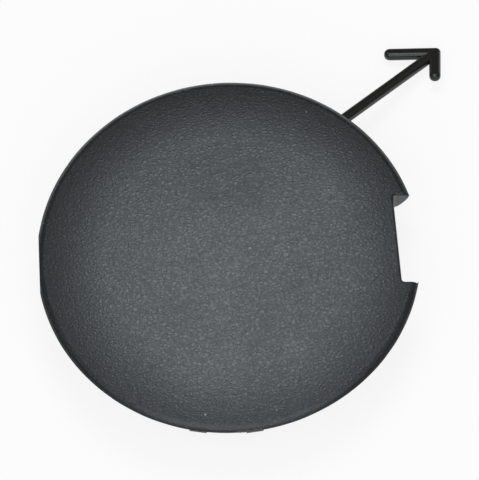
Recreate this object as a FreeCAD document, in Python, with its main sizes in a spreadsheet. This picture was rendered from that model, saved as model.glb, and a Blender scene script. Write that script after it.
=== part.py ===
import FreeCAD, Part
import math
import os
import re
import Sketcher

# Bumper tow hook cover: one moulding with a domed face, a rolled rim, a pry notch, a snap collar
# behind the face and a tether strap that ends in an arrow barb.
# Lengths are in millimetres. The origin is on the axis of the disc, on the plane of the rim's
# lower edge. +Z points out of the face, and +X points to the pry notch.

SIZES = (
    ("face_diameter", 80.0, "widest diameter, at the parting line of the rim"),
    ("lip_height", 4.6, "height of the widest edge above the rim's lower edge"),
    ("crown_height", 8.2, "height of the middle of the face above the rim's lower edge"),
    ("dome_radius", 400.0, "radius of the shallow dome in the middle of the face"),
    ("shoulder_width", 13.0, "how far inside the widest edge the face starts to fall off"),
    ("roll_inset", 1.9, "how far the centre of the rolled edge lies inside the widest edge"),
    ("roll_sink", 1.1, "how far the centre of the rolled edge lies below the widest edge"),
    ("tuck_inset", 2.7, "how far the rim's lower edge lies inside the widest edge"),
    ("tuck_radius", 12.0, "radius of the rim's flank below the widest edge"),
    ("face_wall", 2.2, "thickness of the face"),
    ("rim_wall", 2.0, "thickness of the rim at its lower edge"),
    ("corner_inset", 2.5, "how far the corner between rim and underside lies inside the widest edge"),
    ("corner_height", 3.3, "height of that corner above the rim's lower edge"),
    ("notch_depth", 4.7, "how far the pry notch's inner wall lies inside the widest edge"),
    ("notch_width", 19.8, "width of the pry notch"),
    ("notch_corner", 0.6, "radius of the notch's two inner corners"),
    ("notch_edge", 0.5, "rounding where the notch's walls meet the face"),
    ("web_wall", 1.8, "thickness of the walls that close the notch off from behind"),
    ("flat_depth", 0.5, "depth of the flat on the rim opposite the notch"),
    ("flat_turn", 3.5, "angle by which the flat is turned from -X towards +Y"),
    ("stub_stand", 0.1, "how far the film gate's two stubs stand out of the rim"),
    ("stub_width", 3.6, "width of each stub"),
    ("stub_wall", 0.4, "thickness of each stub"),
    ("stub_first", -104.5, "angle of the first stub around the axis, from +X"),
    ("stub_second", -87.5, "angle of the second stub around the axis, from +X"),
    ("collar_gap", 4.3, "clearance between the locating collar and the rim's inner edge"),
    ("collar_wall", 1.6, "thickness of the collar"),
    ("collar_drop", 4.4, "how far the collar stands below the rim's lower edge"),
    ("rib_wall", 1.2, "thickness of the ribs and gussets"),
    ("rib_level", 3.2, "height of the ribs' free edge above the rim's lower edge"),
    ("gusset_level", 1.2, "height of the gussets' free edge above the rim's lower edge"),
    ("gusset_angle", 30.0, "angle of a gusset from the nearest hook"),
    ("hook_count", 4.0, "number of snap hooks around the collar"),
    ("hook_width", 11.0, "width of a snap hook"),
    ("hook_wall", 1.8, "thickness of a snap hook's leg"),
    ("hook_drop", 9.6, "how far the snap hooks stand below the rim's lower edge"),
    ("hook_barb", 1.4, "how far a snap hook's barb stands out of its leg"),
    ("hook_tip", 1.1, "thickness of a snap hook at its tip"),
    ("hook_lead", 2.8, "height of the slanted lead-in below the barb"),
    ("slit_width", 1.6, "width of the slits beside each hook"),
    ("slit_rise", 2.4, "how far the slits run up past the rim's lower edge"),
    ("tether_width", 2.2, "width of the tether strap"),
    ("tether_wall", 2.0, "thickness of the tether strap"),
    ("tether_length", 40.8, "length of the tether strap from the middle of the collar wall to its tip"),
    ("tether_angle", 53.6, "angle around the axis at which the strap leaves the collar"),
    ("tether_level", 2.2, "height of the strap's root above the rim's lower edge"),
    ("tether_heading", 38.4, "direction of the strap in plan, from +X"),
    ("tether_dip", 15.0, "angle by which the strap falls away from the face"),
    ("tether_bank", -14.5, "twist of the strap about its own length"),
    ("tether_round", 0.8, "rounding of the strap's long edges"),
    ("root_width", 5.2, "width of the strap where it joins the collar"),
    ("root_length", 4.0, "length over which the strap narrows from its root"),
    ("long_arm", 11.9, "length of the arrow's side on the far side of the strap from the notch"),
    ("short_arm", 9.0, "length of the arrow's side next to the notch"),
    ("arrow_angle", 44.5, "angle between the shaft and each side of the arrow barb"),
    ("arrow_tip", 1.0, "rounding of the arrow's tip"),
    ("arrow_width", 2.4, "width of each side of the arrow barb"),
    ("relief_width", 4.6, "width of the relief in the rim above the strap"),
    ("relief_height", 2.7, "height of the relief in the rim above the strap"),
)

NODE = "tow_hook_cover"
ALIASES = "|".join(alias for alias, number, meaning in SIZES)
SHOULDER_START = "(face_diameter / 2 - shoulder_width)"
NOTCH_REACH = "(face_diameter / 2 - notch_depth)"
NOTCH_LOW = "(-notch_width / 2)"
NOTCH_HIGH = "(notch_width / 2)"
INNER_EDGE = "(face_diameter / 2 - tuck_inset - rim_wall)"
COLLAR = f"({INNER_EDGE} - collar_gap)"
COLLAR_MIDDLE = f"({COLLAR} - collar_wall / 2)"
TETHER_ROOT = f"cos(tether_angle) * {COLLAR_MIDDLE}; sin(tether_angle) * {COLLAR_MIDDLE}"
PAST_THE_PART = 3.0
OVERRUN = 0.4
TOLERANCE = 0.001

document = FreeCAD.newDocument("bumper_tow_hook_cover")


def make_sheet():
    """Write each driving dimension into a row of the sheet, with its alias."""
    sheet = document.addObject("Spreadsheet::Sheet", "sizes")
    for row, (alias, number, meaning) in enumerate(SIZES, 1):
        sheet.set(f"A{row}", meaning)
        sheet.set(f"B{row}", str(number))
        sheet.setAlias(f"B{row}", alias)
    document.recompute()
    return sheet


sheet = make_sheet()


def bound(formula):
    """Put the sheet's name before each alias in a formula, such as face_diameter / 2."""
    return re.sub(rf"\b({ALIASES})\b", r"sizes.\1", str(formula))


def value(formula):
    return float(sheet.evalExpression(bound(formula)))


def new_body(name):
    body = document.addObject("PartDesign::Body", name)
    body.Label = name
    return body


def origin_item(body, role):
    """Find a plane or axis of the body's own origin."""
    return next(item for item in body.Origin.OriginFeatures if item.Role == role)


def new_sketch(body, name, role="XY_Plane", place="0; 0; 0", turn="0; 0; 0"):
    """Start a sketch on one of the body's own origin planes, moved and turned within it."""
    sketch = body.newObject("Sketcher::SketchObject", name)
    sketch.AttachmentSupport = (origin_item(body, role), [""])
    sketch.MapMode = "FlatFace"
    sketch.setExpression("AttachmentOffset", placed(place, turn))
    return sketch


def placed(place, turn):
    return bound(f"placement(vector({place}); rotation({turn}))")


def constrain(sketch, kind, *places, size=None):
    """Add a constraint and bind it to the sheet where it has a size."""
    if size is None:
        sketch.addConstraint(Sketcher.Constraint(kind, *places))
        return
    number = sketch.addConstraint(Sketcher.Constraint(kind, *places, value(size)))
    sketch.setExpression(f"Constraints[{number}]", bound(size))


def pin(sketch, geometry, point, across, up):
    """Hold a point of a sketch at a place given from the sketch's origin."""
    constrain(sketch, "DistanceX", -1, 1, geometry, point, size=across)
    constrain(sketch, "DistanceY", -1, 1, geometry, point, size=up)


def draw_polygon(sketch, corners):
    """Draw a closed outline of straight sides with each corner bound to the sheet."""
    points = [FreeCAD.Vector(value(across), value(up), 0) for across, up in corners]
    sides = [
        sketch.addGeometry(Part.LineSegment(start, end))
        for start, end in zip(points, points[1:] + points[:1])
    ]
    for side, following in zip(sides, sides[1:] + sides[:1]):
        sketch.addConstraint(Sketcher.Constraint("Coincident", side, 2, following, 1))
    for side, (across, up) in zip(sides, corners):
        pin(sketch, side, 1, across, up)


def draw_box(sketch, left, right, bottom, top):
    draw_polygon(sketch, [(left, bottom), (right, bottom), (right, top), (left, top)])


def draw_circle(sketch, radius):
    circle = sketch.addGeometry(Part.Circle(FreeCAD.Vector(), FreeCAD.Vector(0, 0, 1), value(radius)))
    sketch.addConstraint(Sketcher.Constraint("Coincident", circle, 3, -1, 1))
    constrain(sketch, "Radius", circle, size=radius)


def arc_about(centre, start, end):
    """Make the shorter arc about a centre. It starts the clockwise way, so its point 2 is the start."""
    radius = (start - centre).Length
    crest = ((start + end) / 2 - centre).normalize() * radius + centre
    return Part.Arc(start, crest, end)


def revolve(body, name, sketch, angle="360"):
    feature = body.newObject("PartDesign::Revolution", name)
    feature.Profile = sketch
    feature.ReferenceAxis = (sketch, ["V_Axis"])
    feature.Midplane = True
    feature.setExpression("Angle", bound(angle))
    return feature


def pad(body, name, sketch, length, reversed_side=False, midplane=False):
    feature = body.newObject("PartDesign::Pad", name)
    feature.Profile = sketch
    feature.setExpression("Length", bound(length))
    feature.Reversed = reversed_side
    feature.Midplane = midplane
    return feature


def cut_up(body, name, sketch, length):
    """Pocket upwards from the sketch's plane."""
    feature = body.newObject("PartDesign::Pocket", name)
    feature.Profile = sketch
    feature.Reversed = True
    feature.setExpression("Length", bound(length))
    return feature


def repeat_around(body, name, feature, count):
    pattern = body.newObject("PartDesign::PolarPattern", name)
    pattern.Originals = [feature]
    pattern.Axis = (origin_item(body, "Z_Axis"), [""])
    pattern.Angle = 360
    pattern.setExpression("Occurrences", bound(count))
    body.Tip = pattern
    return pattern


def round_edges(body, name, radius, chosen):
    """Fillet the edges of the body's last feature that a test chooses."""
    document.recompute()
    base = body.Tip
    names = [f"Edge{number}" for number, edge in enumerate(base.Shape.Edges, 1) if chosen(edge)]
    fillet = body.newObject("PartDesign::Fillet", name)
    fillet.Base = (base, names)
    fillet.setExpression("Radius", bound(radius))
    return fillet


def combine(body, name, other, kind):
    boolean = body.newObject("PartDesign::Boolean", name)
    boolean.setObjects([other])
    boolean.Type = kind
    return boolean


def dome_centre():
    return FreeCAD.Vector(0, value("crown_height - dome_radius"), 0)


def dome_end(radius):
    """Place where a dome of the given radius passes into the shoulder, in the section."""
    across = value(f"{SHOULDER_START} * ({radius}) / dome_radius")
    return dome_centre() + FreeCAD.Vector(across, math.sqrt(value(radius) ** 2 - across ** 2), 0)


def draw_dome(sketch, radius):
    """Draw the middle arc of the face from the axis outwards."""
    top = dome_centre() + FreeCAD.Vector(0, value(radius), 0)
    dome = sketch.addGeometry(arc_about(dome_centre(), top, dome_end(radius)))
    constrain(sketch, "PointOnObject", dome, 3, -2)
    constrain(sketch, "DistanceY", -1, 1, dome, 3, size="crown_height - dome_radius")
    constrain(sketch, "Radius", dome, size=radius)
    constrain(sketch, "PointOnObject", dome, 2, -2)
    constrain(sketch, "DistanceX", -1, 1, dome, 1, size=f"{SHOULDER_START} * ({radius}) / dome_radius")
    return dome


def draw_cap_section(sketch):
    """Draw half the filled section: dome, shoulder, rolled edge, flank and lower edge."""
    edge = FreeCAD.Vector(value("face_diameter / 2"), value("lip_height"), 0)
    roll_centre = edge - FreeCAD.Vector(value("roll_inset"), value("roll_sink"), 0)
    roll_radius = (edge - roll_centre).Length
    dome = draw_dome(sketch, "dome_radius")
    start = dome_end("dome_radius")
    outward = (start - dome_centre()).normalize()
    reach = start - roll_centre
    shoulder_radius = (reach.dot(reach) - roll_radius ** 2) / (2 * (reach.dot(outward) - roll_radius))
    shoulder_centre = start - outward * shoulder_radius
    meeting = roll_centre + (roll_centre - shoulder_centre).normalize() * roll_radius
    shoulder = sketch.addGeometry(arc_about(shoulder_centre, start, meeting))
    roll = sketch.addGeometry(arc_about(roll_centre, meeting, edge))
    lower = FreeCAD.Vector(value("face_diameter / 2 - tuck_inset"), 0, 0)
    half = (edge - lower) / 2
    inward = FreeCAD.Vector(-half.y, half.x, 0).normalize()
    tuck_centre = (edge + lower) / 2 + inward * math.sqrt(value("tuck_radius") ** 2 - half.Length ** 2)
    tuck = sketch.addGeometry(arc_about(tuck_centre, edge, lower))
    base = sketch.addGeometry(Part.LineSegment(lower, FreeCAD.Vector()))
    crown = FreeCAD.Vector(0, value("crown_height"), 0)
    axis = sketch.addGeometry(Part.LineSegment(FreeCAD.Vector(), crown))
    constrain(sketch, "Tangent", dome, 1, shoulder, 2)
    constrain(sketch, "Tangent", shoulder, 1, roll, 2)
    constrain(sketch, "Coincident", roll, 1, tuck, 2)
    constrain(sketch, "Coincident", tuck, 1, base, 1)
    constrain(sketch, "Coincident", base, 2, axis, 1)
    constrain(sketch, "Coincident", axis, 2, dome, 2)
    pin(sketch, roll, 1, "face_diameter / 2", "lip_height")
    pin(sketch, roll, 3, "face_diameter / 2 - roll_inset", "lip_height - roll_sink")
    pin(sketch, tuck, 1, "face_diameter / 2 - tuck_inset", "0")
    constrain(sketch, "Radius", tuck, size="tuck_radius")
    constrain(sketch, "Coincident", base, 2, -1, 1)


def draw_hollow_section(sketch):
    """Draw half the section of the space behind the face, which runs on below the rim."""
    under = "dome_radius - face_wall"
    corner = ("face_diameter / 2 - corner_inset", "corner_height")
    dome = draw_dome(sketch, under)
    start = dome_end(under)
    end = FreeCAD.Vector(value(corner[0]), value(corner[1]), 0)
    outward = (start - dome_centre()).normalize()
    run = end - start
    radius = -run.dot(run) / (2 * run.dot(outward))
    shoulder = sketch.addGeometry(arc_about(start - outward * radius, start, end))
    path = [end]
    for across, up in ((INNER_EDGE, "0"), (INNER_EDGE, -PAST_THE_PART), ("0", -PAST_THE_PART)):
        path.append(FreeCAD.Vector(value(across), value(up), 0))
    path.append(FreeCAD.Vector(0, value("crown_height - face_wall"), 0))
    sides = [sketch.addGeometry(Part.LineSegment(a, b)) for a, b in zip(path, path[1:])]
    constrain(sketch, "Tangent", dome, 1, shoulder, 2)
    constrain(sketch, "Coincident", shoulder, 1, sides[0], 1)
    for side, following in zip(sides, sides[1:]):
        constrain(sketch, "Coincident", side, 2, following, 1)
    constrain(sketch, "Coincident", sides[-1], 2, dome, 2)
    pin(sketch, shoulder, 1, *corner)
    pin(sketch, sides[1], 1, INNER_EDGE, "0")
    pin(sketch, sides[2], 1, INNER_EDGE, -PAST_THE_PART)
    pin(sketch, sides[3], 1, "0", -PAST_THE_PART)


def make_hollow():
    """The space behind the face, less the webs, collar, ribs and gussets that stand in it."""
    body = new_body("hollow")
    section = new_sketch(body, "hollow_section", "XZ_Plane")
    draw_hollow_section(section)
    revolve(body, "hollow_turned", section)
    below = f"0; 0; {-2 * PAST_THE_PART}"
    through = f"crown_height + {3 * PAST_THE_PART}"
    web = new_sketch(body, "web_outline", place=below)
    draw_notch(web, "web_wall", "face_diameter / 2")
    cut_up(body, "web_space", web, through)
    collar = new_sketch(body, "collar_outline", place=below)
    draw_circle(collar, COLLAR)
    draw_circle(collar, f"{COLLAR} - collar_wall")
    cut_up(body, "collar_space", collar, through)
    rib = new_sketch(body, "rib_outline", place="0; 0; rib_level")
    draw_box(rib, "0", COLLAR_MIDDLE, "-rib_wall / 2", "rib_wall / 2")
    rib_space = cut_up(body, "rib_space", rib, "crown_height")
    repeat_around(body, "rib_star", rib_space, "hook_count")
    for side, angle in (("first", "gusset_angle"), ("second", "360 / hook_count - gusset_angle")):
        gusset = new_sketch(body, f"{side}_gusset_outline",
                            place="0; 0; gusset_level", turn=f"{angle}; 0; 0")
        draw_box(gusset, COLLAR_MIDDLE, "face_diameter / 2", "-rib_wall / 2", "rib_wall / 2")
        gusset_space = cut_up(body, f"{side}_gusset_space", gusset, "crown_height")
        repeat_around(body, f"{side}_gussets", gusset_space, "hook_count")
    return body


def make_tether():
    """The strap in its own plane, from its root along +X to the tip of the arrow barb."""
    body = new_body("tether")
    shaft = new_sketch(body, "shaft_outline")
    head = "tether_length - arrow_width"
    draw_polygon(shaft, [
        ("0", "-root_width / 2"),
        ("root_length", "-tether_width / 2"),
        (head, "-tether_width / 2"),
        (head, "tether_width / 2"),
        ("root_length", "tether_width / 2"),
        ("0", "root_width / 2"),
    ])
    pad(body, "shaft", shaft, "tether_wall", midplane=True)
    for arm, turn in (("long_arm", "180 - arrow_angle; 0; 0"), ("short_arm", "arrow_angle - 180; 0; 180")):
        outline = new_sketch(body, f"{arm}_outline", place="tether_length; 0; 0", turn=turn)
        draw_arm(outline, arm)
        pad(body, f"arrow_{arm}", outline, "tether_wall", midplane=True)
    tip = value("tether_length")
    half_wall = value("tether_wall / 2")

    def is_at_tip(edge):
        box = edge.BoundBox
        return abs(box.XMin - tip) < TOLERANCE and box.ZLength > TOLERANCE

    round_edges(body, "rounded_tip", "arrow_tip", is_at_tip)

    def is_long(edge):
        box = edge.BoundBox
        outside = abs(abs(box.ZMin) - half_wall) < TOLERANCE
        return box.ZLength < TOLERANCE and outside and box.XMax > TOLERANCE

    round_edges(body, "rounded_strap", "tether_round", is_long)
    return body


def draw_arm(sketch, length):
    """Draw one side of the arrow, from the tip back to its round end, in line with +X."""
    straight = f"{length} - arrow_width / 2"
    inner = "arrow_width / tan(arrow_angle)"
    tip = FreeCAD.Vector()
    outer = FreeCAD.Vector(value(straight), 0, 0)
    far = FreeCAD.Vector(value(length), value("arrow_width / 2"), 0)
    back = FreeCAD.Vector(value(straight), value("arrow_width"), 0)
    crotch = FreeCAD.Vector(value(inner), value("arrow_width"), 0)
    outer_side = sketch.addGeometry(Part.LineSegment(tip, outer))
    end = sketch.addGeometry(Part.Arc(outer, far, back))
    inner_side = sketch.addGeometry(Part.LineSegment(back, crotch))
    joint = sketch.addGeometry(Part.LineSegment(crotch, tip))
    constrain(sketch, "Coincident", outer_side, 2, end, 1)
    constrain(sketch, "Coincident", end, 2, inner_side, 1)
    constrain(sketch, "Coincident", inner_side, 2, joint, 1)
    constrain(sketch, "Coincident", joint, 2, outer_side, 1)
    constrain(sketch, "Coincident", outer_side, 1, -1, 1)
    pin(sketch, end, 1, straight, "0")
    pin(sketch, end, 2, straight, "arrow_width")
    constrain(sketch, "DistanceX", -1, 1, end, 3, size=straight)
    pin(sketch, joint, 1, inner, "arrow_width")


def make_cap(hollow, tether):
    """The whole moulding: the filled cap, less its hollow, with collar, hooks and strap."""
    body = new_body(NODE)
    section = new_sketch(body, "cap_section", "XZ_Plane")
    draw_cap_section(section)
    revolve(body, "cap_turned", section)
    combine(body, "hollow_back", hollow, "Cut")
    add_gate_stubs(body)
    add_skirt(body)
    add_hooks(body)
    cut_slits(body)
    cut_notch(body)
    cut_flat(body)
    cut_relief(body)
    place_tether(tether)
    combine(body, "strap_on_collar", tether, "Fuse")
    return body


def add_gate_stubs(body):
    """The two stubs that are left of the film gate on the -Y rim, just below the widest edge."""
    for name, angle in (("first_stub", "stub_first"), ("second_stub", "stub_second")):
        outline = new_sketch(body, f"{name}_outline",
                             place="0; 0; lip_height - stub_wall", turn=f"{angle}; 0; 0")
        draw_box(outline, "face_diameter / 2 - rim_wall / 2", "face_diameter / 2 + stub_stand",
                 "-stub_width / 2", "stub_width / 2")
        pad(body, name, outline, "stub_wall")


def add_skirt(body):
    """The part of the collar that stands below the rim's lower edge."""
    ring = new_sketch(body, "skirt_outline")
    draw_circle(ring, COLLAR)
    draw_circle(ring, f"{COLLAR} - collar_wall")
    pad(body, "skirt", ring, "collar_drop", reversed_side=True)


def add_hooks(body):
    """The snap hooks: legs in line with the collar, each with a barb and a slanted lead-in."""
    outline = new_sketch(body, "hook_outline", "XZ_Plane")
    inner = f"{COLLAR} - hook_wall"
    draw_polygon(outline, [
        (inner, "slit_rise"),
        (inner, "-hook_drop"),
        (f"{inner} + hook_tip", "-hook_drop"),
        (f"{COLLAR} + hook_barb", "hook_lead - hook_drop"),
        (COLLAR, "hook_lead + hook_barb - hook_drop"),
        (COLLAR, "slit_rise"),
    ])
    hook = revolve(body, "hook", outline, f"2 * asin((hook_width + slit_width) / (2 * {COLLAR}))")
    repeat_around(body, "hooks", hook, "hook_count")


def cut_slits(body):
    """The slits that free both sides of each hook from the collar."""
    near = "hook_width / 2"
    far = "(hook_width / 2 + slit_width)"
    for side, bottom, top in (("left", f"-{far}", f"-{near}"), ("right", near, far)):
        slit = new_sketch(body, f"{side}_slit_outline", place=f"0; 0; -hook_drop - {PAST_THE_PART}")
        outside = f"{COLLAR} + hook_barb + {OVERRUN}"
        draw_box(slit, f"{COLLAR} - hook_width / 2", outside, bottom, top)
        cut = cut_up(body, f"{side}_slit", slit, f"hook_drop + {PAST_THE_PART} + slit_rise")
        repeat_around(body, f"{side}_slits", cut, "hook_count")


def cut_notch(body):
    """The pry notch: a straight cut through the rim, closed off from behind by its webs."""
    outline = new_sketch(body, "notch_outline", place=f"0; 0; {-PAST_THE_PART}")
    draw_notch(outline, "0", f"face_diameter / 2 + {PAST_THE_PART}")
    cut_up(body, "notch", outline, f"crown_height + {2 * PAST_THE_PART}")
    low = value(NOTCH_LOW)
    high = value(NOTCH_HIGH)
    wall = value(NOTCH_REACH)

    def is_inner_corner(edge):
        box = edge.BoundBox
        upright = box.XLength < TOLERANCE and box.YLength < TOLERANCE
        return upright and abs(box.XMin - wall) < TOLERANCE and near_any(box.YMin, (low, high))

    round_edges(body, "notch_corners", "notch_corner", is_inner_corner)

    def is_on_face(edge):
        box = edge.BoundBox
        on_side = box.YLength < TOLERANCE and near_any(box.YMin, (low, high))
        on_wall = box.XMin > wall - TOLERANCE and box.XMax < wall + value("notch_corner") + TOLERANCE
        inside = box.YMin > low - TOLERANCE and box.YMax < high + TOLERANCE
        above = box.ZMin > value("lip_height") - TOLERANCE
        return above and inside and (on_side or on_wall)

    round_edges(body, "notch_edge_rounding", "notch_edge", is_on_face)


def draw_notch(sketch, wall, outside):
    """Draw the notch's outline, grown by a wall on its three inner sides."""
    draw_polygon(sketch, [
        (f"{NOTCH_REACH} - {wall}", f"{NOTCH_LOW} - {wall}"),
        (outside, f"{NOTCH_LOW} - {wall}"),
        (outside, f"{NOTCH_HIGH} + {wall}"),
        (f"{NOTCH_REACH} - {wall}", f"{NOTCH_HIGH} + {wall}"),
    ])


def near_any(number, others):
    return any(abs(number - other) < TOLERANCE for other in others)


def cut_flat(body):
    """The flat on the rim opposite the notch."""
    flat = new_sketch(body, "flat_outline", place=f"0; 0; {-PAST_THE_PART}", turn="-flat_turn; 0; 0")
    draw_box(flat, f"-(face_diameter / 2 + {PAST_THE_PART})", "flat_depth - face_diameter / 2", f"-{COLLAR}", COLLAR)
    cut_up(body, "flat", flat, f"crown_height + {2 * PAST_THE_PART}")


def cut_relief(body):
    """The relief in the rim's lower edge, through which the strap passes out."""
    outline = new_sketch(body, "relief_outline",
                         place=f"{TETHER_ROOT}; {-PAST_THE_PART}", turn="tether_heading; 0; 0")
    reach = f"face_diameter / 2 - {COLLAR} + collar_wall + {PAST_THE_PART}"
    draw_box(outline, "2 * collar_wall", reach, "-relief_width / 2", "relief_width / 2")
    cut_up(body, "relief", outline, f"relief_height + {PAST_THE_PART}")


def place_tether(tether):
    """Put the strap's root in the collar's wall and turn the strap into its own direction."""
    direction = "tether_heading; tether_dip; tether_bank"
    tether.setExpression("Placement", placed(f"{TETHER_ROOT}; tether_level", direction))


def check_document():
    """Stop if any object of the document failed to rebuild."""
    for item in document.Objects:
        if "Invalid" in item.State or "Error" in item.State:
            raise ValueError(f"{item.Label} did not rebuild: {item.State}")


def write_part(body):
    shape = body.Shape
    if shape.isNull() or not shape.isValid():
        raise ValueError(f"{body.Label} has no valid shape")
    os.makedirs("parts", exist_ok=True)
    shape.exportStep(f"parts/{body.Label}.step")
    print(body.Label, len(shape.Solids), "solid", round(shape.Volume, 1), "mm3", shape.BoundBox)


cap = make_cap(make_hollow(), make_tether())
document.recompute()
check_document()
write_part(cap)
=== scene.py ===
"""Bumper tow hook cover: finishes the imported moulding, adds its small moulding details and sets its stage."""

import math
import random

import bmesh
import bpy
from bpy.props import FloatProperty, FloatVectorProperty, IntProperty, PointerProperty
from mathutils import Matrix, Vector, noise


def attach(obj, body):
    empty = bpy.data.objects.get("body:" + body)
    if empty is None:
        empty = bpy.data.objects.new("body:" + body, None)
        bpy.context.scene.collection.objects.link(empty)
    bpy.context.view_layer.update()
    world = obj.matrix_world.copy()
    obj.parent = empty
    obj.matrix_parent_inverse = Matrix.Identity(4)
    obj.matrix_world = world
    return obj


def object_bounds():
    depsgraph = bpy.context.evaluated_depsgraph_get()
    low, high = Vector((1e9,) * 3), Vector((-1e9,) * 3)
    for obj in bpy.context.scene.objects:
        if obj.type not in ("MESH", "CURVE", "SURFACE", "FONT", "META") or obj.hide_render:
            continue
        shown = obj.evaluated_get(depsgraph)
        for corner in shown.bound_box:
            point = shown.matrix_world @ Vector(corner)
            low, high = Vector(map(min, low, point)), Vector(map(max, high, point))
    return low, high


bl_info = {
    "name": "Tow Hook Cover",
    "version": (1, 0, 0),
    "blender": (4, 5, 0),
    "location": "3D View > Sidebar > Tow Hook Cover",
    "description": "Finishes a moulded tow hook cover and sets its stage",
    "category": "Object",
}

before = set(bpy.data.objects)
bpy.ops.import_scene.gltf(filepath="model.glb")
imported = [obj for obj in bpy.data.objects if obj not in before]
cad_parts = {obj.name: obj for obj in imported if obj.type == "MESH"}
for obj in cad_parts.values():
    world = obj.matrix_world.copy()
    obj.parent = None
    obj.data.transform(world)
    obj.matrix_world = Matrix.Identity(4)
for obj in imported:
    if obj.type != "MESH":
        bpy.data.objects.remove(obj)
CAD_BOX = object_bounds()
COVER = "tow_hook_cover"

# The photograph, in pixels: its longer side, and how far its middle lies right of the rim's and above it.
PICTURE_SIDE = 480
AIM_RIGHT = 10.7
AIM_UP = 17.1

# The moulding's own places, in metres, as its solid has them.
RIM_RADIUS = 0.040
RIM_LEVEL = 0.0046
CROWN = 0.0082
DOME_RADIUS = 0.400
DOME_CENTRE = CROWN - DOME_RADIUS
SHOULDER_START = 0.027
ROLL_INSET = 0.0019
ROLL_SINK = 0.0011
ROLL_ACROSS = RIM_RADIUS - ROLL_INSET
ROLL_UP = RIM_LEVEL - ROLL_SINK
ROLL_RADIUS = math.hypot(ROLL_INSET, ROLL_SINK)
FACE_WALL = 0.0022
NOTCH_WALL = 0.0353
NOTCH_HALF = 0.0099
FLAT_REACH = 0.0395
FLAT_TURN = math.radians(176.5)
STUB_REACH = 0.0401
STUB_TURN = math.radians(-87.5)

# Where the moulding's finishes meet, in metres.
# The shoulder falls below the dome by this, times the square of the distance past its start.
SHOULDER_FALL = 5.2
# How far below the outer surface a place still counts as the outside.
SKIN = 0.001
# The levels between which the grain fades in on the flank.
GRAIN_START = 0.0022
GRAIN_FULL = 0.0034
# The distances from the axis between which the rubbed edge fades in, and past which all is strap.
RUBBED_START = 0.0396
RUBBED_FULL = 0.03995
STRAP_START = STUB_REACH + 0.0001
# The strap's root under the rim lies below this level, where X and Y add up to more than this.
ROOT_TOP = 0.0026
ROOT_START = 0.0505
# How far round the notch its smooth walls reach.
NOTCH_MARGIN = 0.0003

# The parting ridge, in metres: its root's depth in the rim, and half its width there and near its crest.
RIDGE_ROOT = 0.00012
RIDGE_FOOT = 0.00007
RIDGE_CREST = 0.00003
# The torn gate, in metres: its tip's greatest height and width, how deep the rim hides the tip, how far
# its level wanders, how far its upper side rises, and how deep its roots and its back lie in the rim.
TEAR_HEIGHT = 0.00028
TEAR_WIDTH = 0.00024
TEAR_SINK = 0.00006
TEAR_WANDER = 0.00012
TEAR_RISE = 0.00016
TEAR_LOWER_ROOT = 0.0003
TEAR_UPPER_ROOT = 0.0002
TEAR_BACK = 0.0006
# The lint, in metres: how far from the axis it lies, and how far it stands out of the face.
LINT_SPREAD = 0.037
LINT_STAND = 0.00003
# Each circle of ejector pins: its radius, and its pins' angles within each quarter turn.
PIN_CIRCLES = ((0.011, (45,)), (0.0235, (22, 68)))
# A pin mark's section from the middle outwards: share of the pin's radius, and depth below the underside.
PIN_SECTION = (
    (0.72, 0.00005), (0.80, 0.00004), (0.84, 0.00001), (0.88, 0.00001),
    (0.91, 0.00009), (0.96, 0.00011), (1.00, 0.00009), (1.03, -0.00004),
)


def shoulder_arc():
    """The shoulder's arc, which touches the dome where it starts and the rolled edge where it ends."""
    slope = math.asin(SHOULDER_START / DOME_RADIUS)
    out, up = math.sin(slope), math.cos(slope)
    start_up = DOME_CENTRE + DOME_RADIUS * up
    reach, rise = SHOULDER_START - ROLL_ACROSS, start_up - ROLL_UP
    radius = (reach ** 2 + rise ** 2 - ROLL_RADIUS ** 2) / (2 * (reach * out + rise * up - ROLL_RADIUS))
    centre_across = SHOULDER_START - out * radius
    centre_up = start_up - up * radius
    end = ROLL_ACROSS + (ROLL_ACROSS - centre_across) * ROLL_RADIUS / (radius - ROLL_RADIUS)
    return end, centre_across, centre_up, radius


# Each arc of the face's section: how far out it runs, its centre across and up, and its radius.
FACE_ARCS = (
    (SHOULDER_START, 0.0, DOME_CENTRE, DOME_RADIUS),
    shoulder_arc(),
    (RIM_RADIUS, ROLL_ACROSS, ROLL_UP, ROLL_RADIUS),
)
SHOULDER_END = FACE_ARCS[1][0]


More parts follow.
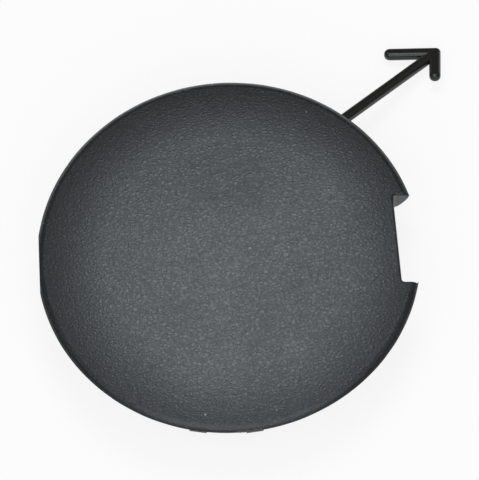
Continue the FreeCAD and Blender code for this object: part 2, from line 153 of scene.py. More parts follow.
class TowCoverFinish(bpy.types.PropertyGroup):
    """Colours and surface of the moulded plastic."""

    face_colour: FloatVectorProperty(
        name="Face colour", description="Colour of the grained face", subtype="COLOR",
        size=4, min=0.0, max=1.0, default=(0.0172, 0.0178, 0.0186, 1.0))
    back_colour: FloatVectorProperty(
        name="Back colour", description="Colour of the smooth back", subtype="COLOR",
        size=4, min=0.0, max=1.0, default=(0.016, 0.0163, 0.0168, 1.0))
    strap_colour: FloatVectorProperty(
        name="Strap colour", description="Colour of the glossy tether strap", subtype="COLOR",
        size=4, min=0.0, max=1.0, default=(0.0115, 0.0103, 0.0088, 1.0))
    torn_colour: FloatVectorProperty(
        name="Torn colour", description="Colour of the whitened plastic at the torn gate", subtype="COLOR",
        size=4, min=0.0, max=1.0, default=(0.16, 0.165, 0.16, 1.0))
    dust_colour: FloatVectorProperty(
        name="Dust colour", description="Colour of the dust that lies on the face", subtype="COLOR",
        size=4, min=0.0, max=1.0, default=(0.28, 0.29, 0.29, 1.0))
    gloss_tint: FloatVectorProperty(
        name="Gloss tint", description="Tint of the plastic's reflections", subtype="COLOR",
        size=4, min=0.0, max=1.0, default=(0.86, 0.945, 1.0, 1.0))
    grain_size: FloatProperty(
        name="Grain size", description="Width of one pebble of the leather grain", unit="LENGTH",
        default=0.00072, min=0.0001, precision=5)
    grain_depth: FloatProperty(
        name="Grain depth", description="Depth of the leather grain", unit="LENGTH",
        default=0.000025, min=0.0, precision=6)
    face_roughness: FloatProperty(
        name="Face roughness", description="Roughness of the grain's pebbles", subtype="FACTOR",
        default=0.19, min=0.0, max=1.0)
    furrow_roughness: FloatProperty(
        name="Furrow roughness", description="Roughness added between the grain's pebbles", subtype="FACTOR",
        default=0.21, min=0.0, max=1.0)
    back_roughness: FloatProperty(
        name="Back roughness", description="Roughness of the smooth back", subtype="FACTOR",
        default=0.32, min=0.0, max=1.0)
    strap_roughness: FloatProperty(
        name="Strap roughness", description="Roughness of the tether strap", subtype="FACTOR",
        default=0.3, min=0.0, max=1.0)
    dust_cover: FloatProperty(
        name="Dust cover", description="Share of the face's cells that hold a speck of dust",
        subtype="FACTOR", default=0.16, min=0.0, max=1.0)


class TowCoverDetails(bpy.types.PropertyGroup):
    """Sizes of the small marks that moulding leaves."""

    ridge_height: FloatProperty(
        name="Parting ridge height", description="How far the parting line's ridge stands out", unit="LENGTH",
        default=0.00006, min=0.0, precision=6)
    tear_span: FloatProperty(
        name="Tear span", description="Length of the gate's torn edge along the rim", unit="LENGTH",
        default=0.0056, min=0.001, precision=5)
    pin_radius: FloatProperty(
        name="Ejector pin radius", description="Radius of the ejector pins' marks", unit="LENGTH",
        default=0.0021, min=0.0005, precision=5)
    fleck_count: IntProperty(
        name="Fleck count", description="Number of lint flecks on the face", default=120, min=0)
    seed: IntProperty(
        name="Seed", description="Seed for the uneven places", default=7)


class TowCoverStage(bpy.types.PropertyGroup):
    """Camera, floor and lights."""

    camera_distance: FloatProperty(
        name="Camera distance", description="Distance of the camera from the cover", unit="LENGTH",
        default=4.0, min=0.5)
    camera_rise: FloatProperty(
        name="Camera rise", description="Elevation of the camera above the floor", subtype="ANGLE",
        default=math.radians(65.5))
    camera_turn: FloatProperty(
        name="Camera turn", description="How far the camera is turned round the cover, from -Y towards -X",
        subtype="ANGLE", default=math.radians(1.5))
    camera_roll: FloatProperty(
        name="Camera roll", description="How far the camera is rolled", subtype="ANGLE",
        default=math.radians(4.2))
    pixel_size: FloatProperty(
        name="Pixel size", description="Width that one pixel shows at the cover", unit="LENGTH",
        default=0.0002082, precision=7)
    floor_colour: FloatVectorProperty(
        name="Floor colour", description="Colour of the floor", subtype="COLOR",
        size=4, min=0.0, max=1.0, default=(0.85, 0.85, 0.85, 1.0))
    backdrop_glow: FloatProperty(
        name="Backdrop glow", description="Share of the floor's white that its shadow doesn't reach",
        subtype="FACTOR", default=0.85, min=0.0, max=1.0)
    top_light: FloatProperty(
        name="Top light", description="Power of the softbox over the cover", unit="POWER",
        default=3.5, min=0.0)
    front_light: FloatProperty(
        name="Front light", description="Power of the softbox in front of the cover", unit="POWER",
        default=13.4, min=0.0)
    sky_light: FloatProperty(
        name="Sky light", description="Strength of the even light from above", default=0.3, min=0.0)
    horizon_light: FloatProperty(
        name="Horizon light", description="Strength of the light from low round the cover",
        default=0.08, min=0.0)


def set_input(tree, socket, value):
    """Link a socket to another, or set its own value."""
    if isinstance(value, bpy.types.NodeSocket):
        tree.links.new(value, socket)
    else:
        socket.default_value = value


def add_node(tree, kind, inputs=None, **settings):
    """Add a node, set its own settings, and link or set its inputs."""
    node = tree.nodes.new(kind)
    for name, value in settings.items():
        setattr(node, name, value)
    for key, value in (inputs or {}).items():
        set_input(tree, node.inputs[key], value)
    return node


def calculate(tree, operation, *terms, clamp=False):
    """Add a Math node and give its output."""
    node = add_node(tree, "ShaderNodeMath", dict(enumerate(terms)), operation=operation, use_clamp=clamp)
    return node.outputs[0]


def between(tree, value, low, high):
    """Spread a value that runs from 0 to 1 over a range."""
    return calculate(tree, "MULTIPLY_ADD", value, high - low, low)


def inverse(tree, value):
    """One less the value, such as a mask of what another mask leaves out."""
    return calculate(tree, "SUBTRACT", 1.0, value)


def above(tree, value, limit):
    """A mask of where a value is above a limit."""
    return calculate(tree, "GREATER_THAN", value, limit)


def below(tree, value, limit):
    """A mask of where a value is below a limit."""
    return calculate(tree, "LESS_THAN", value, limit)


def both(tree, first, second):
    """A mask of where two masks overlap."""
    return calculate(tree, "MULTIPLY", first, second)


def either(tree, first, second):
    """A mask of what two masks cover together."""
    return calculate(tree, "MAXIMUM", first, second)


def stretch(tree, vector, factors):
    """Multiply a vector by three numbers of its own."""
    return add_node(tree, "ShaderNodeVectorMath", {0: vector, 1: factors}, operation="MULTIPLY").outputs[0]


def scale(tree, vector, factor):
    """Multiply a vector by one number."""
    return add_node(tree, "ShaderNodeVectorMath", {0: vector, "Scale": factor}, operation="SCALE").outputs[0]


def in_cells(tree, position, size):
    """Measure a position in cells of the given size."""
    return scale(tree, position, calculate(tree, "DIVIDE", 1.0, size))


def ramp(tree, value, low, high, to_low=0.0, to_high=1.0):
    """Map a value smoothly from one range to another."""
    node = add_node(tree, "ShaderNodeMapRange", {
        "Value": value, "From Min": low, "From Max": high, "To Min": to_low, "To Max": to_high,
    }, interpolation_type="SMOOTHSTEP")
    return node.outputs["Result"]


def blend_colours(tree, factor, first, second):
    """Pass from one colour to another as a factor goes from 0 to 1."""
    return add_node(tree, "ShaderNodeMix", {0: factor, 6: first, 7: second}, data_type="RGBA").outputs[2]


def blend_numbers(tree, factor, first, second):
    """Pass from one number to another as a factor goes from 0 to 1."""
    return add_node(tree, "ShaderNodeMix", {0: factor, 2: first, 3: second}, data_type="FLOAT").outputs[0]


def toned(colour, factor):
    """A lighter or darker tone of a colour."""
    return (*(factor * part for part in colour[:3]), 1.0)


def own_place(tree):
    """The shaded point's place in its object's frame, which for the cover's pieces is the cover's."""
    return add_node(tree, "ShaderNodeTexCoord").outputs["Object"]


def new_group(name, inputs, outputs):
    """Start a shader node group with named sockets, and give it with its own inputs and outputs."""
    group = bpy.data.node_groups.new(name, "ShaderNodeTree")
    for label, kind, default in inputs:
        socket = group.interface.new_socket(label, in_out="INPUT", socket_type=f"NodeSocket{kind}")
        if default is not None:
            socket.default_value = default
    for label in outputs:
        group.interface.new_socket(label, in_out="OUTPUT", socket_type="NodeSocketFloat")
    return group, group.nodes.new("NodeGroupInput").outputs, group.nodes.new("NodeGroupOutput").inputs


def use_group(tree, name, build, **inputs):
    """Place the named group, built the first time that a material asks for it, and give its outputs."""
    node = add_node(tree, "ShaderNodeGroup")
    node.node_tree = bpy.data.node_groups.get(name) or build(name)
    for label, value in inputs.items():
        set_input(tree, node.inputs[label.replace("_", " ")], value)
    return node.outputs


def build_leather_grain(name):
    """Wavy pebbles with furrows between them, as etched into a mould."""
    group, given, made = new_group(
        name,
        [("Position", "Vector", None), ("Size", "Float", 0.001), ("Waviness", "Float", 0.5)],
        ["Height", "Furrow"])
    middle_grey = (0.5, 0.5, 0.5)
    pebble_run = (0.72, 1.0, 1.0)
    wrinkle_share = 0.55
    spread = in_cells(group, given["Position"], given["Size"])
    drift = add_node(group, "ShaderNodeTexNoise", {
        "Vector": spread, "Scale": 0.55, "Detail": 2.0, "Roughness": 0.6})
    swing = add_node(group, "ShaderNodeVectorMath", {0: drift.outputs["Color"], 1: middle_grey},
                     operation="SUBTRACT")
    pushed = scale(group, swing.outputs[0], given["Waviness"])
    bent = add_node(group, "ShaderNodeVectorMath", {0: spread, 1: pushed}, operation="ADD")
    drawn = stretch(group, bent.outputs[0], pebble_run)
    cells = add_node(group, "ShaderNodeTexVoronoi", {"Vector": drawn, "Scale": 1.0, "Randomness": 0.95},
                     feature="DISTANCE_TO_EDGE")
    pebble = ramp(group, cells.outputs["Distance"], low=0.02, high=0.34)
    wrinkle = add_node(group, "ShaderNodeTexNoise", {
        "Vector": drawn, "Scale": 1.9, "Detail": 3.0, "Roughness": 0.62, "Distortion": 0.6})
    fine = ramp(group, wrinkle.outputs["Fac"], low=0.28, high=0.72)
    height = blend_numbers(group, wrinkle_share, pebble, fine)
    group.links.new(height, made["Height"])
    group.links.new(inverse(group, height), made["Furrow"])
    return group


def build_settled_dust(name):
    """Scattered specks of uneven size, one at most in each cell."""
    group, given, made = new_group(
        name,
        [("Position", "Vector", None), ("Cell", "Float", 0.002), ("Cover", "Float", 0.2)],
        ["Mask"])
    spread = in_cells(group, given["Position"], given["Cell"])
    cells = add_node(group, "ShaderNodeTexVoronoi", {"Vector": spread, "Scale": 1.0, "Randomness": 1.0})
    chance = add_node(group, "ShaderNodeSeparateColor", {"Color": cells.outputs["Color"]}).outputs
    held = below(group, chance[0], given["Cover"])
    reach = between(group, chance[1], low=0.025, high=0.115)
    near = below(group, cells.outputs["Distance"], reach)
    faint = between(group, chance[2], low=0.3, high=1.0)
    group.links.new(both(group, both(group, held, near), faint), made["Mask"])
    return group


def build_handling_marks(name):
    """Broad soft patches and fine streaks that handling leaves in the gloss."""
    group, given, made = new_group(
        name,
        [("Position", "Vector", None), ("Patch", "Float", 0.02)],
        ["Patches", "Streaks"])
    streak_run = (3.0, 34.0, 9.0)
    spread = in_cells(group, given["Position"], given["Patch"])
    broad = add_node(group, "ShaderNodeTexNoise", {
        "Vector": spread, "Scale": 1.0, "Detail": 4.0, "Roughness": 0.55})
    lines = add_node(group, "ShaderNodeTexNoise", {
        "Vector": stretch(group, spread, streak_run), "Scale": 1.0, "Detail": 2.0, "Roughness": 0.5,
        "Distortion": 1.2})
    group.links.new(broad.outputs["Fac"], made["Patches"])
    group.links.new(ramp(group, lines.outputs["Fac"], low=0.60, high=0.72), made["Streaks"])
    return group


def build_moulding_zones(name):
    """Where the grain was etched, where the strap is and where the rim's edge gets rubbed."""
    group, given, made = new_group(name, [("Position", "Vector", None)], ["Grained", "Strap", "Edge"])
    across, along, up = add_node(group, "ShaderNodeSeparateXYZ", {0: given["Position"]}).outputs
    square = calculate(group, "MULTIPLY_ADD", across, across, calculate(group, "MULTIPLY", along, along))
    radius = calculate(group, "SQRT", square)
    past = calculate(group, "MAXIMUM", calculate(group, "SUBTRACT", radius, SHOULDER_START), 0.0)
    dome = calculate(group, "MULTIPLY_ADD", square, -0.5 / DOME_RADIUS, CROWN)
    surface = calculate(group, "MULTIPLY_ADD", calculate(group, "POWER", past, 2.0), -SHOULDER_FALL, dome)
    in_skin = above(group, up, calculate(group, "SUBTRACT", surface, SKIN))
    outside = either(group, in_skin, above(group, radius, SHOULDER_END))
    out_of_rim = above(group, radius, STRAP_START)
    between_ends = below(group, calculate(group, "ABSOLUTE", along), NOTCH_HALF + NOTCH_MARGIN)
    notch = both(group, above(group, across, NOTCH_WALL - NOTCH_MARGIN), between_ends)
    grained = both(group, outside, ramp(group, up, low=GRAIN_START, high=GRAIN_FULL))
    for bare in (out_of_rim, notch):
        grained = both(group, grained, inverse(group, bare))
    past_root = above(group, calculate(group, "ADD", across, along), ROOT_START)
    strap = either(group, out_of_rim, both(group, below(group, up, ROOT_TOP), past_root))
    near_edge = ramp(group, radius, low=RUBBED_START, high=RUBBED_FULL)
    group.links.new(grained, made["Grained"])
    group.links.new(strap, made["Strap"])
    group.links.new(both(group, near_edge, inverse(group, out_of_rim)), made["Edge"])
    return group


def new_material(name):
    """Start a material and give it with its node tree and its Principled shader."""
    material = bpy.data.materials.new(name)
    material.use_nodes = True
    tree = material.node_tree
    return material, tree, tree.nodes["Principled BSDF"]


def moulded_colour(tree, settings, zones, grain, marks, lying):
    """Pebbles painted lighter and furrows painted darker as painted shade in the grain, with a rubbed edge
    outside, plain colours behind and on the strap, dust on top.
    """
    pebble_light_tone, furrow_shade_tone, rubbed_tone, rubbed_share = 1.6, 0.4, 2.2, 0.5
    face = tuple(settings.face_colour)
    # Painted light and shade: the furrows between the pebbles are painted darker as shade, and the pebble tops
    # lighter as light.
    etched = blend_colours(tree, grain["Furrow"], toned(face, pebble_light_tone), toned(face, furrow_shade_tone))
    rubbed = both(tree, zones["Edge"], ramp(tree, marks["Patches"], low=0.5, high=0.62))
    wear = calculate(tree, "MULTIPLY", rubbed, rubbed_share)
    worn = blend_colours(tree, wear, etched, toned(face, rubbed_tone))
    smooth = blend_colours(tree, zones["Strap"], tuple(settings.back_colour), tuple(settings.strap_colour))
    clean = blend_colours(tree, zones["Grained"], smooth, worn)
    return blend_colours(tree, lying, clean, tuple(settings.dust_colour))


def moulded_roughness(tree, settings, zones, grain, marks, lying):
    """Duller in the furrows, in patches and streaks, and where dust lies."""
    patch_average, patch_swing, streak_rise, dust_rise = 0.5, 0.16, 0.05, 0.4
    sleek = blend_numbers(tree, zones["Strap"], settings.back_roughness, settings.strap_roughness)
    etched = calculate(tree, "MULTIPLY_ADD",
                       grain["Furrow"], settings.furrow_roughness, settings.face_roughness)
    rough = blend_numbers(tree, zones["Grained"], sleek, etched)
    uneven = calculate(tree, "SUBTRACT", marks["Patches"], patch_average)
    patchy = calculate(tree, "MULTIPLY_ADD", uneven, patch_swing, rough)
    streaked = calculate(tree, "MULTIPLY_ADD", marks["Streaks"], streak_rise, patchy)
    return calculate(tree, "MULTIPLY_ADD", lying, dust_rise, streaked, clamp=True)


def moulded_relief(tree, settings, zones, grain, place):
    """The grain's height where it was etched, over a faint unevenness everywhere."""
    skin_share = 0.06
    skin = add_node(tree, "ShaderNodeTexNoise", {"Vector": place, "Scale": 5200.0, "Detail": 2.0})
    etched = calculate(tree, "MULTIPLY", grain["Height"], zones["Grained"])
    height = calculate(tree, "MULTIPLY_ADD", skin.outputs["Fac"], skin_share, etched)
    bump = add_node(tree, "ShaderNodeBump", {
        "Height": height, "Strength": 1.0, "Distance": settings.grain_depth})
    return bump.outputs[0]


def moulded_plastic(settings):
    """The cover's plastic: grained outside, smooth behind and glossy on the strap."""
    material, tree, shader = new_material("moulded_plastic")
    place = own_place(tree)
    zones = use_group(tree, "Moulding Zones", build_moulding_zones, Position=place)
    grain = use_group(tree, "Leather Grain", build_leather_grain,
                      Position=place, Size=settings.grain_size, Waviness=1.1)
    dust = use_group(tree, "Settled Dust", build_settled_dust,
                     Position=place, Cell=0.0021, Cover=settings.dust_cover)
    marks = use_group(tree, "Handling Marks", build_handling_marks, Position=place, Patch=0.016)
    lying = both(tree, dust["Mask"], between(tree, zones["Grained"], low=0.05, high=0.85))
    colour = moulded_colour(tree, settings, zones, grain, marks, lying)
    roughness = moulded_roughness(tree, settings, zones, grain, marks, lying)
    normal = moulded_relief(tree, settings, zones, grain, place)
    tree.links.new(colour, shader.inputs["Base Color"])
    tree.links.new(roughness, shader.inputs["Roughness"])
    tree.links.new(normal, shader.inputs["Normal"])
    shader.inputs["Specular Tint"].default_value = tuple(settings.gloss_tint)
    return material


def torn_plastic(settings):
    """Pulled and whitened plastic where the gate was torn off."""
    material, tree, shader = new_material("torn_plastic")
    grain = use_group(tree, "Leather Grain", build_leather_grain,
                      Position=own_place(tree), Size=0.00022, Waviness=1.6)
    pale = blend_colours(tree, grain["Height"], tuple(settings.back_colour), tuple(settings.torn_colour))
    tree.links.new(pale, shader.inputs["Base Color"])
    shader.inputs["Roughness"].default_value = 0.55
    bump = add_node(tree, "ShaderNodeBump", {"Height": grain["Height"], "Strength": 1.0, "Distance": 0.00005})
    tree.links.new(bump.outputs[0], shader.inputs["Normal"])
    return material


def lint(settings):
    """Pale fibre dust."""
    shaded_tone = 0.55
    material, tree, shader = new_material("lint")
    grain = use_group(tree, "Leather Grain", build_leather_grain,
                      Position=own_place(tree), Size=0.00012, Waviness=0.8)
    dust = tuple(settings.dust_colour)
    fibres = blend_colours(tree, grain["Height"], toned(dust, shaded_tone), dust)
    tree.links.new(fibres, shader.inputs["Base Color"])
    shader.inputs["Roughness"].default_value = 0.9
    return material


def shared_material(build):
    """Give the material that a function makes, and make it the first time that it is asked for."""
    return bpy.data.materials.get(build.__name__) or build(bpy.context.scene.tow_cover_finish)


def around(turn, reach, level):
    """A point at an angle round the cover's axis, a distance from it and a level."""
    return Vector((reach * math.cos(turn), reach * math.sin(turn), level))


def inside_box(spot):
    """Move a point back into the solid's box."""
    return Vector(min(max(part, low), high) for part, low, high in zip(spot, *CAD_BOX))


def face_level(radius):
    """Height of the outside of the face at a distance from the axis."""
    for reach, across, up, bend in FACE_ARCS:
        if radius <= reach:
            return up + math.sqrt(bend ** 2 - (radius - across) ** 2)
    return RIM_LEVEL


def underside(spot, drop):
    """The point below the face's inner surface, by a drop, where a spot lies in plan."""
    level = DOME_CENTRE + math.sqrt((DOME_RADIUS - FACE_WALL) ** 2 - spot.length_squared)
    return Vector((spot.x, spot.y, level - drop))


def join_rings(work, rings, closed=False):
    """Lay faces between each ring of points and the next."""
    for first, second in zip(rings, rings[1:]):
        pairs = list(zip(first, second))
        following = pairs[1:] + pairs[:1] if closed else pairs[1:]
        for (a, d), (b, c) in zip(pairs, following):
            work.faces.new((a, b, c, d))


def close_ends(work, rings):
    """Lay a face in the first ring and in the last."""
    work.faces.new(rings[0])
    work.faces.new(rings[-1])


def add_piece(name, fill, finish, smooth=True):
    """Add a piece on the cover: one function fills its mesh and another makes its material."""
    work = bmesh.new()
    fill(work, bpy.context.scene.tow_cover_details)
    bmesh.ops.recalc_face_normals(work, faces=work.faces)
    mesh = bpy.data.meshes.new(name)
    work.to_mesh(mesh)
    work.free()
    if smooth:
        mesh.shade_smooth()
    mesh.materials.append(shared_material(finish))
    piece = bpy.data.objects.new(name, mesh)
    bpy.context.scene.collection.objects.link(piece)
    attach(piece, "root")


def fill_parting_ridge(work, details):
    """A low uneven ridge round the widest edge, from one side of the notch to the other and over the flat."""
    start = math.asin(NOTCH_HALF / RIM_RADIUS)
    end = 2 * math.pi - start
    steps = 720
    fade = 12.0
    noise_reach = 9.0
    mean_swell, swing, lowest_swell = 0.6, 0.8, 0.15
    side_share = 0.7
    flat_normal = around(FLAT_TURN, 1.0, 0.0)
    rings = []
    for number in range(steps + 1):
        turn = start + (end - start) * number / steps
        swell = mean_swell + swing * noise.noise(around(turn, noise_reach, details.seed))
        taper = min(1.0, fade * number / steps, fade * (steps - number) / steps)
        height = details.ridge_height * max(lowest_swell, swell) * taper
        side = side_share * height
        ring = []
        for out, rise in ((-RIDGE_ROOT, -RIDGE_FOOT), (side, -RIDGE_CREST), (height, 0.0),
                          (side, RIDGE_CREST), (-RIDGE_ROOT, RIDGE_FOOT)):
            spot = around(turn, RIM_RADIUS + out, RIM_LEVEL + rise)
            past_flat = spot.dot(flat_normal) - FLAT_REACH - min(out, 0.0)
            spot -= flat_normal * max(past_flat, 0.0)
            ring.append(work.verts.new(inside_box(spot)))
        rings.append(ring)
    join_rings(work, rings)
    close_ends(work, rings)


def fill_torn_gate(work, details):
    """A ragged sliver along the rim, thinned out towards both ends."""
    rng = random.Random(details.seed)
    steps = 56
    fade = 10.0
    set_back = 0.2
    span = details.tear_span / RIM_RADIUS
    middle = STUB_TURN - set_back * span
    rings = []
    for number in range(steps + 1):
        share = number / steps
        turn = middle + span * (share - 0.5)
        taper = min(1.0, fade * share * (1.0 - share))
        height = TEAR_HEIGHT * rng.uniform(0.3, 1.0) * taper
        width = TEAR_WIDTH * rng.uniform(0.7, 1.3)
        tip = RIM_RADIUS - TEAR_SINK + height
        level = RIM_LEVEL + rng.uniform(0.0, TEAR_WANDER)
        section = (
            (RIM_RADIUS - TEAR_LOWER_ROOT, -width),
            (tip - rng.uniform(0.0, TEAR_SINK), -0.4 * width),
            (tip, 0.3 * height),
            (RIM_RADIUS - TEAR_UPPER_ROOT, TEAR_RISE + 0.5 * height),
            (RIM_RADIUS - TEAR_BACK, 0.0),
        )
        ring = [inside_box(around(turn, reach, level + rise)) for reach, rise in section]
        rings.append([work.verts.new(spot) for spot in ring])
    join_rings(work, rings, closed=True)
    close_ends(work, rings)


def fill_ejector_marks(work, details):
    """A low disc, a fine groove and a raised ring behind the face for each ejector pin."""
    sides = 48
    quarters = range(0, 360, 90)
    pins = [around(math.radians(quarter + angle), reach, 0.0)
            for reach, angles in PIN_CIRCLES for quarter in quarters for angle in angles]
    for pin in pins:
        rings = []
        for share, drop in PIN_SECTION:
            circle = [around(2 * math.pi * side / sides, share * details.pin_radius, 0.0)
                      for side in range(sides)]
            rings.append([work.verts.new(underside(pin + step, drop)) for step in circle])
        join_rings(work, rings, closed=True)
        work.faces.new(rings[0])


def in_notch(place, margin):
    """Whether a place on the face lies over the notch, or within a margin round it."""
    return place.x > NOTCH_WALL - margin and abs(place.y) < NOTCH_HALF + margin


def fill_lint_flecks(work, details):
    """Low flecks of uneven outline on the face, with none at the notch."""
    rng = random.Random(details.seed + 1)
    corners = 7
    shortest, longest = 0.00005, 0.00013
    long_share, long_factor = 0.15, 1.8
    flatness, roundness = 0.5, 0.55
    innermost = 0.01
    notch_margin = 0.001
    for _ in range(details.fleck_count):
        turn = rng.uniform(0.0, 2 * math.pi)
        place = around(turn, LINT_SPREAD * math.sqrt(rng.uniform(innermost, 1.0)), 0.0)
        length = rng.uniform(shortest, longest) * (long_factor if rng.random() < long_share else 1.0)
        lie = Matrix.Rotation(rng.uniform(0, math.pi), 3, "Z")
        outs = [length * rng.uniform(roundness, 1.0) for _ in range(corners)]
        if in_notch(place, notch_margin):
            continue
        ring = []
        for number, out in enumerate(outs):
            step = around(2 * math.pi * number / corners, out, 0.0)
            spot = place + lie @ Vector((step.x, flatness * step.y, 0.0))
            spot.z = face_level(spot.length) - LINT_STAND
            ring.append(work.verts.new(spot))
        place.z = face_level(place.length) + LINT_STAND
        top = work.verts.new(inside_box(place))
        for first, second in zip(ring, ring[1:] + ring[:1]):
            work.faces.new((first, second, top))


class TOWCOVER_OT_finish_moulding(bpy.types.Operator):
    """Give the moulding its grained, smooth and glossy plastic"""

    bl_idname = "tow_cover.finish_moulding"
    bl_label = "Finish the Moulding"

    def execute(self, context):
        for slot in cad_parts[COVER].material_slots:
            slot.material = shared_material(moulded_plastic)
        return {"FINISHED"}


class TOWCOVER_OT_parting_line(bpy.types.Operator):
    """Add the thin ridge that the mould's parting line leaves round the rim"""

    bl_idname = "tow_cover.parting_line"
    bl_label = "Add the Parting Line"

    def execute(self, context):
        add_piece("parting_ridge", fill_parting_ridge, moulded_plastic)
        return {"FINISHED"}


class TOWCOVER_OT_film_gate(bpy.types.Operator):
    """Add the torn edge that is left of the film gate beside its stub on the -Y rim"""

    bl_idname = "tow_cover.film_gate"
    bl_label = "Add the Torn Gate"

    def execute(self, context):
        add_piece("torn_gate", fill_torn_gate, torn_plastic, smooth=False)
        return {"FINISHED"}


class TOWCOVER_OT_ejector_marks(bpy.types.Operator):
    """Add the ejector pins' round marks behind the face"""

    bl_idname = "tow_cover.ejector_marks"
    bl_label = "Add the Ejector Marks"

    def execute(self, context):
        add_piece("ejector_marks", fill_ejector_marks, moulded_plastic)
        return {"FINISHED"}


class TOWCOVER_OT_lint_flecks(bpy.types.Operator):
    """Scatter a few flecks of lint on the grained face"""

    bl_idname = "tow_cover.lint_flecks"
    bl_label = "Scatter the Lint"

    def execute(self, context):
        add_piece("lint_flecks", fill_lint_flecks, lint)
        return {"FINISHED"}


def seen_directly(tree):
    """One where a ray comes from the camera or from a mirror or glass, where the backdrop is plain white."""
    path = add_node(tree, "ShaderNodeLightPath").outputs
    mirrored = either(tree, path["Is Glossy Ray"], path["Is Transmission Ray"])
    return either(tree, path["Is Camera Ray"], mirrored)


def floor_material(stage):
    """Matt pale floor that is only seen from above and keeps the cover's shadow."""
    mottle_share, mottle_tone = 0.3, 0.98
    material, tree, shader = new_material("pale_floor")
    shader.inputs["Roughness"].default_value = 0.9
    shader.inputs["Specular IOR Level"].default_value = 0.0
    fine = add_node(tree, "ShaderNodeTexNoise", {
        "Vector": own_place(tree), "Scale": 60.0, "Detail": 4.0})
    mottle = calculate(tree, "MULTIPLY", fine.outputs["Fac"], mottle_share)
    colour = blend_colours(tree, mottle, tuple(stage.floor_colour), toned(stage.floor_colour, mottle_tone))
    tree.links.new(colour, shader.inputs["Base Color"])

    def mixed(share, first, second):
        return add_node(tree, "ShaderNodeMixShader", {0: share, 1: first, 2: second}).outputs[0]

    matt = shader.outputs[0]
    glow = add_node(tree, "ShaderNodeEmission", {"Strength": 1.0}).outputs[0]
    clear = add_node(tree, "ShaderNodeBsdfTransparent").outputs[0]
    lit = mixed(seen_directly(tree), matt, mixed(stage.backdrop_glow, matt, glow))
    behind = add_node(tree, "ShaderNodeNewGeometry").outputs["Backfacing"]
    tree.links.new(mixed(behind, lit, clear), tree.nodes["Material Output"].inputs["Surface"])
    return material


def direction(lean, swing):
    """A unit direction that leans from straight up towards +Y, and swings towards +X, in degrees."""
    lean, swing = math.radians(lean), math.radians(swing)
    return Vector((math.sin(swing), math.cos(swing) * math.sin(lean), math.cos(swing) * math.cos(lean)))


def add_softbox(name, place, size, power):
    """Add a rectangular area light that is aimed at the cover's middle."""
    data = bpy.data.lights.new(name, "AREA")
    data.shape = "RECTANGLE"
    data.size, data.size_y = size
    data.energy = power
    lamp = bpy.data.objects.new(name, data)
    lamp.location = place
    lamp.rotation_euler = (-place).to_track_quat("-Z", "Y").to_euler()
    lamp.visible_camera = False
    bpy.context.scene.collection.objects.link(lamp)


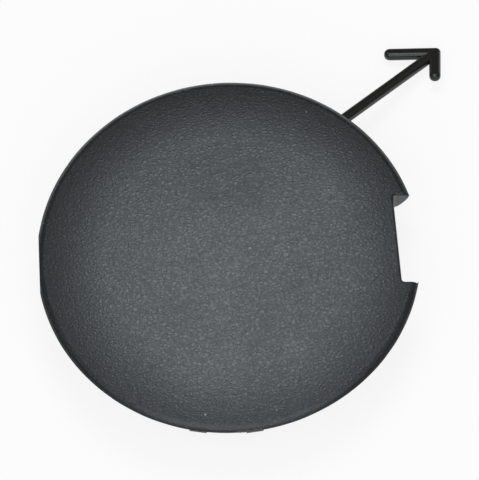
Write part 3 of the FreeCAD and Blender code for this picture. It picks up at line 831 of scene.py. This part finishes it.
class TOWCOVER_OT_stage(bpy.types.Operator):
    """Set the floor, the soft lights, the world and the camera"""

    bl_idname = "tow_cover.stage"
    bl_label = "Set the Stage"

    def execute(self, context):
        stage = context.scene.tow_cover_stage
        self.add_floor(stage)
        self.add_world(stage)
        self.add_softboxes(stage)
        self.add_camera(stage)
        context.scene.view_settings.view_transform = "Standard"
        return {"FINISHED"}

    def add_floor(self, stage):
        """A wide disc just below the cover."""
        gap = 0.00002
        work = bmesh.new()
        bmesh.ops.create_circle(work, cap_ends=True, segments=128, radius=4.0)
        mesh = bpy.data.meshes.new("floor")
        work.to_mesh(mesh)
        work.free()
        floor = bpy.data.objects.new("floor", mesh)
        floor.location.z = CAD_BOX[0].z - gap
        mesh.materials.append(floor_material(stage))
        bpy.context.scene.collection.objects.link(floor)

    def add_world(self, stage):
        """An even sky that grows dim towards the horizon."""
        world = bpy.data.worlds.new("studio")
        bpy.context.scene.world = world
        world.use_nodes = True
        tree = world.node_tree
        sky = tree.nodes["Background"]
        sky.inputs["Color"].default_value = (1.0, 1.0, 1.0, 1.0)
        heading = add_node(tree, "ShaderNodeTexCoord").outputs["Generated"]
        height = add_node(tree, "ShaderNodeSeparateXYZ", {0: heading}).outputs["Z"]
        strength = ramp(tree, height, low=0.45, high=0.85,
                        to_low=stage.horizon_light, to_high=stage.sky_light)
        tree.links.new(strength, sky.inputs["Strength"])

    def add_softboxes(self, stage):
        """One softbox over the cover, a metre away, and a larger one in front of it."""
        front_distance = 1.2
        add_softbox("top_softbox", place=direction(lean=19.5, swing=1.6),
                    size=(0.44, 0.528), power=stage.top_light)
        add_softbox("front_softbox", place=direction(lean=-40, swing=-4) * front_distance,
                    size=(1.7, 1.32), power=stage.front_light)

    def add_camera(self, stage):
        """A camera at the photograph's angle, far away, whose frame is the photograph's."""
        rise, turn, roll = stage.camera_rise, stage.camera_turn, stage.camera_roll
        level_right = around(-turn, 1.0, 0.0)
        back = around(-turn - math.pi / 2, math.cos(rise), math.sin(rise))
        level_up = back.cross(level_right)
        right = level_right * math.cos(roll) - level_up * math.sin(roll)
        up = level_right * math.sin(roll) + level_up * math.cos(roll)
        aim = Vector((0, 0, RIM_LEVEL)) + (right * AIM_RIGHT + up * AIM_UP) * stage.pixel_size
        data = bpy.data.cameras.new("camera")
        data.lens = data.sensor_width * stage.camera_distance / (PICTURE_SIDE * stage.pixel_size)
        camera = bpy.data.objects.new("camera", data)
        facing = Matrix((right, up, back)).transposed()
        camera.matrix_world = Matrix.Translation(aim + back * stage.camera_distance) @ facing.to_4x4()
        bpy.context.scene.collection.objects.link(camera)
        bpy.context.scene.camera = camera


class TOWCOVER_PT_sidebar(bpy.types.Panel):
    """Lists the cover's operators and settings"""

    bl_idname = "TOWCOVER_PT_sidebar"
    bl_label = "Tow Hook Cover"
    bl_space_type = "VIEW_3D"
    bl_region_type = "UI"
    bl_category = "Tow Hook Cover"

    def draw(self, context):
        for step in STEPS:
            self.layout.operator(step.bl_idname)
        for group in SETTINGS:
            settings = getattr(context.scene, group)
            for name in settings.__annotations__:
                self.layout.prop(settings, name)


STEPS = (
    TOWCOVER_OT_stage,
    TOWCOVER_OT_finish_moulding,
    TOWCOVER_OT_parting_line,
    TOWCOVER_OT_film_gate,
    TOWCOVER_OT_ejector_marks,
    TOWCOVER_OT_lint_flecks,
)
SETTINGS = {
    "tow_cover_finish": TowCoverFinish,
    "tow_cover_details": TowCoverDetails,
    "tow_cover_stage": TowCoverStage,
}


def register():
    for kind in (*SETTINGS.values(), *STEPS, TOWCOVER_PT_sidebar):
        bpy.utils.register_class(kind)
    for name, kind in SETTINGS.items():
        setattr(bpy.types.Scene, name, PointerProperty(type=kind))


def unregister():
    for name in SETTINGS:
        delattr(bpy.types.Scene, name)
    for kind in reversed((*SETTINGS.values(), *STEPS, TOWCOVER_PT_sidebar)):
        bpy.utils.unregister_class(kind)


def main():
    """Register the add-on and run its steps in order."""
    register()
    for step in STEPS:
        group, name = step.bl_idname.split(".")
        getattr(getattr(bpy.ops, group), name)()


if __name__ == "__main__":
    main()
